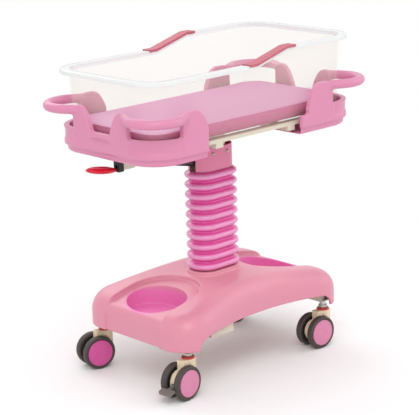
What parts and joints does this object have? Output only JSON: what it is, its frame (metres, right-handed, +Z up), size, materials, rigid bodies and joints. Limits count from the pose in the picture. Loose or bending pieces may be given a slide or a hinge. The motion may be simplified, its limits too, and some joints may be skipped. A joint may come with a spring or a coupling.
{
  "type": "hospital bassinet",
  "caption": "Clear basin with a mattress on a tilting, height-adjustable column over a moulded base with swivel casters and corner grips.",
  "frame": {"origin": "on the floor under the middle of the bassinet, on the column's axis", "axes": "+X towards the head end, where the basin's rim is higher; +Y across, from the side with the braked foot caster to the other; +Z up"},
  "size_m": [0.846, 0.49, 0.8958],
  "materials": {
    "moulded_pink": "satin moulding",
    "basin_clear": "clear polished",
    "strip_rubber": "ribbed soft strip",
    "mattress_cover": "wipe-clean coated fabric",
    "bellows_rubber": "soft satin",
    "sleeve_pink": "satin",
    "frame_steel": "powder coat",
    "plain_steel": "brushed",
    "zinc_steel": "zinc plated",
    "black_paint": "gloss black",
    "black_plastic": "matt",
    "lever_red": "gloss",
    "tyre_grey": "matt",
    "hub_pink": "satin",
    "hood_beige": "satin",
    "ring_red": "satin",
    "pedal_grey": "textured"
  },
  "bodies": {
    "base": {"base_cover": "moulded_pink", "chassis_crossbars": "frame_steel", "chassis_spine": "frame_steel", "side_brackets": "frame_steel", "bracket_screws": "zinc_steel", "column_flange": "frame_steel", "flange_bolts": "zinc_steel", "column_outer_tube": "frame_steel", "guide_bush": "black_plastic", "lift_gas_cylinder": "black_paint", "bellows": "bellows_rubber", "caster_foot_near_stem": "plain_steel", "caster_foot_far_stem": "plain_steel", "caster_head_near_stem": "plain_steel", "caster_head_far_stem": "plain_steel"},
    "column": {"column_inner_tube": "plain_steel", "lift_gas_rod": "plain_steel", "column_sleeve": "sleeve_pink", "sleeve_screws": "zinc_steel", "column_head": "frame_steel", "pivot_pin": "zinc_steel"},
    "deck": {"deck_rails": "frame_steel", "deck_crossbars": "frame_steel", "tilt_cradle": "frame_steel", "foot_tray": "moulded_pink", "head_tray": "moulded_pink", "tray_screws": "zinc_steel", "lever_bracket": "frame_steel", "gas_bracket": "frame_steel", "lever_housing": "black_plastic"},
    "tilt_cylinder": {"tilt_gas_cylinder": "black_paint"},
    "tilt_rod": {"tilt_gas_rod": "plain_steel"},
    "lever": {"release_rod": "plain_steel", "release_paddle": "lever_red"},
    "basin": {"basin": "basin_clear", "rim_strips": "strip_rubber"},
    "mattress": {"mattress": "mattress_cover"},
    "swivel_foot_near": {"caster_foot_near_ring": "ring_red", "caster_foot_near_hood": "hood_beige", "caster_foot_near_axle": "plain_steel"},
    "wheels_foot_near": {"caster_foot_near_tyres": "tyre_grey", "caster_foot_near_hubs": "hub_pink"},
    "pedal_foot_near": {"caster_foot_near_brake_pedal": "pedal_grey"},
    "swivel_foot_far": {"caster_foot_far_ring": "ring_red", "caster_foot_far_hood": "hood_beige", "caster_foot_far_axle": "plain_steel"},
    "wheels_foot_far": {"caster_foot_far_tyres": "tyre_grey", "caster_foot_far_hubs": "hub_pink"},
    "swivel_head_near": {"caster_head_near_ring": "ring_red", "caster_head_near_hood": "hood_beige", "caster_head_near_axle": "plain_steel"},
    "wheels_head_near": {"caster_head_near_tyres": "tyre_grey", "caster_head_near_hubs": "hub_pink"},
    "swivel_head_far": {"caster_head_far_ring": "ring_red", "caster_head_far_hood": "hood_beige", "caster_head_far_axle": "plain_steel"},
    "wheels_head_far": {"caster_head_far_tyres": "tyre_grey", "caster_head_far_hubs": "hub_pink"},
    "pedal_head_far": {"caster_head_far_brake_pedal": "pedal_grey"}
  },
  "joints": [
    {"name": "lift", "type": "slide", "parent": "base", "child": "column", "axis": [0, 0, 1], "range_m": [-0.09, 0.06], "deforming": ["bellows"]},
    {"name": "tilt", "type": "hinge", "parent": "column", "child": "deck", "pos_m": [0, 0, 0.624], "axis": [0, 1, 0], "range_deg": [-12, 12]},
    {"name": "tilt_spring_swing", "type": "hinge", "parent": "column", "child": "tilt_cylinder", "pos_m": [-0.005, 0, 0.559], "axis": [0, 1, 0], "range_deg": [-13, 13]},
    {"name": "tilt_spring_stroke", "type": "slide", "parent": "tilt_cylinder", "child": "tilt_rod", "axis": [-0.9779, 0, 0.2093], "range_m": [-0.016, 0.016]},
    {"name": "release", "type": "hinge", "parent": "deck", "child": "lever", "pos_m": [-0.28, 0.02, 0.6], "axis": [0, 1, 0], "range_deg": [0, 10], "stiffness_Nm_per_rad": 1.2, "springref_deg": -28.65},
    {"name": "basin_lift_out", "type": "slide", "parent": "deck", "child": "basin", "axis": [0, 0, 1], "range_m": [0, 0.25]},
    {"name": "mattress_lift_out", "type": "slide", "parent": "basin", "child": "mattress", "axis": [0, 0, 1], "range_m": [0, 0.2]},
    {"name": "swivel_foot_near", "type": "hinge", "parent": "base", "child": "swivel_foot_near", "pos_m": [-0.265, -0.172, 0.104], "axis": [0, 0, 1], "continuous": true},
    {"name": "roll_foot_near", "type": "hinge", "parent": "swivel_foot_near", "child": "wheels_foot_near", "pos_m": [-0.29683, -0.17535, 0.047], "axis": [-0.1045, 0.9945, 0], "continuous": true},
    {"name": "brake_foot_near", "type": "hinge", "parent": "swivel_foot_near", "child": "pedal_foot_near", "pos_m": [-0.3259, -0.1784, 0.04025], "axis": [-0.1045, 0.9945, 0], "range_deg": [-10, 0]},
    {"name": "swivel_foot_far", "type": "hinge", "parent": "base", "child": "swivel_foot_far", "pos_m": [-0.265, 0.172, 0.104], "axis": [0, 0, 1], "continuous": true},
    {"name": "roll_foot_far", "type": "hinge", "parent": "swivel_foot_far", "child": "wheels_foot_far", "pos_m": [-0.29605, 0.17974, 0.047], "axis": [0.2419, 0.9703, 0], "continuous": true},
    {"name": "swivel_head_near", "type": "hinge", "parent": "base", "child": "swivel_head_near", "pos_m": [0.265, -0.172, 0.104], "axis": [0, 0, 1], "continuous": true},
    {"name": "roll_head_near", "type": "hinge", "parent": "swivel_head_near", "child": "wheels_head_near", "pos_m": [0.23304, -0.17033, 0.047], "axis": [0.0523, 0.9986, 0], "continuous": true},
    {"name": "swivel_head_far", "type": "hinge", "parent": "base", "child": "swivel_head_far", "pos_m": [0.265, 0.172, 0.104], "axis": [0, 0, 1], "continuous": true},
    {"name": "roll_head_far", "type": "hinge", "parent": "swivel_head_far", "child": "wheels_head_far", "pos_m": [0.233, 0.172, 0.047], "axis": [0, 1, 0], "continuous": true},
    {"name": "brake_head_far", "type": "hinge", "parent": "swivel_head_far", "child": "pedal_head_far", "pos_m": [0.20377, 0.172, 0.04025], "axis": [0, 1, 0], "range_deg": [-10, 0]}
  ],
  "couplings": [
    {"joint": "tilt_spring_swing", "follows": "tilt", "ratio": 0.97086},
    {"joint": "tilt_spring_stroke", "follows": "tilt", "m_per_rad": 0.064335}
  ]
}
